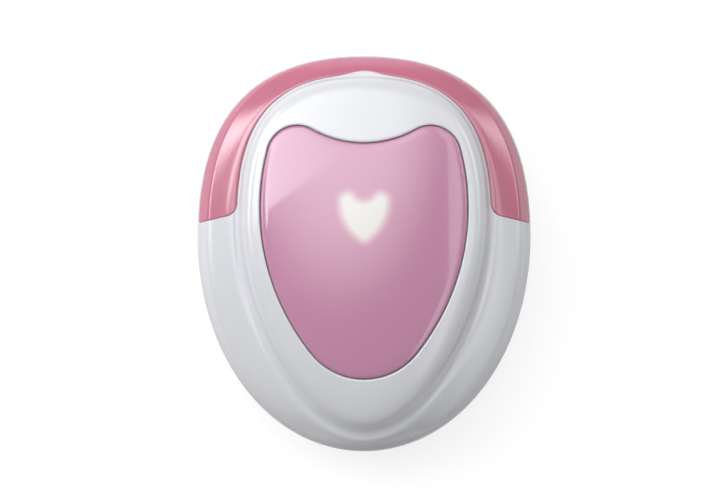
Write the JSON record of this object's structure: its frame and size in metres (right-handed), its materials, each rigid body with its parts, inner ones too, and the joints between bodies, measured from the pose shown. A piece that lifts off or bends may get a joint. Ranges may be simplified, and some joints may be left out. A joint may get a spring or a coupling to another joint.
{
  "type": "fetal doppler monitor",
  "caption": "Palm-sized egg-shaped fetal doppler with a heart-shaped press plate, a side volume wheel, headphone sockets, a rear transducer face and a hinged battery door.",
  "frame": {"origin": "on the resting plane under the transducer face, in the middle of the outline's length and width", "axes": "+Z out of the front, +Y towards the wide pink end, +X towards the volume wheel"},
  "size_m": [0.088, 0.1046, 0.0368],
  "materials": {
    "shell_white": "gloss",
    "shell_rear": "satin",
    "band_pink": "gloss",
    "lens_pink": "gloss",
    "inner_white": "matte",
    "light_diffuser": "satin",
    "transducer_ivory": "satin",
    "board_green": "satin",
    "chip_black": "matte",
    "plastic_black": "satin",
    "wheel_grey": "satin",
    "led_white": "gloss",
    "can_metal": "satin",
    "shaft_steel": "satin",
    "screw_steel": "satin",
    "contact_nickel": "gloss",
    "cell_jacket": "gloss",
    "crystal_ceramic": "matte",
    "foam_grey": "matte",
    "lead_insulation": "satin"
  },
  "bodies": {
    "case": {"front_housing": "shell_white", "rear_housing": "shell_rear", "upper_band": "band_pink", "button_guide_frame": "inner_white", "transducer_face": "transducer_ivory", "main_pcb": "board_green", "processor_chip": "chip_black", "amplifier_chips": "chip_black", "tact_switch_bodies": "chip_black", "chip_components": "chip_black", "headphone_jack_left": "plastic_black", "headphone_jack_right": "plastic_black", "leds": "led_white", "oscillator_can": "can_metal", "electrolytic_capacitors": "can_metal", "transducer_cover": "can_metal", "volume_potentiometer": "can_metal", "case_screws": "screw_steel", "pcb_screws": "screw_steel", "transducer_screws": "screw_steel", "battery_contact_link": "contact_nickel", "battery_contact_positive": "contact_nickel", "battery_contact_negative": "contact_nickel", "battery_cell_upper": "cell_jacket", "battery_cell_lower": "cell_jacket", "transmit_crystal": "crystal_ceramic", "receive_crystal": "crystal_ceramic", "acoustic_divider": "foam_grey", "acoustic_backing": "foam_grey", "battery_leads": "lead_insulation", "transducer_leads": "lead_insulation"},
    "heart_button": {"heart_button_lens": "lens_pink", "heart_button_carrier": "inner_white", "heart_light_guide": "light_diffuser", "tact_switch_plungers": "plastic_black"},
    "volume_wheel": {"volume_wheel": "wheel_grey", "volume_shaft": "shaft_steel", "volume_wheel_screw": "screw_steel"},
    "battery_door": {"battery_door": "shell_rear", "battery_pad": "foam_grey"}
  },
  "joints": [
    {"name": "heart_button_press", "type": "slide", "parent": "case", "child": "heart_button", "axis": [0, 0, -1], "range_m": [0, 0.0006], "stiffness_N_per_m": 2500, "springref_m": -0.0006},
    {"name": "volume_turn", "type": "hinge", "parent": "case", "child": "volume_wheel", "pos_m": [0.0341, 0.0046, 0.011], "axis": [0, 0, 1], "range_deg": [0, 270]},
    {"name": "battery_door_hinge", "type": "hinge", "parent": "case", "child": "battery_door", "pos_m": [0, -0.0112, 0.0052], "axis": [1, 0, 0], "range_deg": [0, 80]}
  ]
}
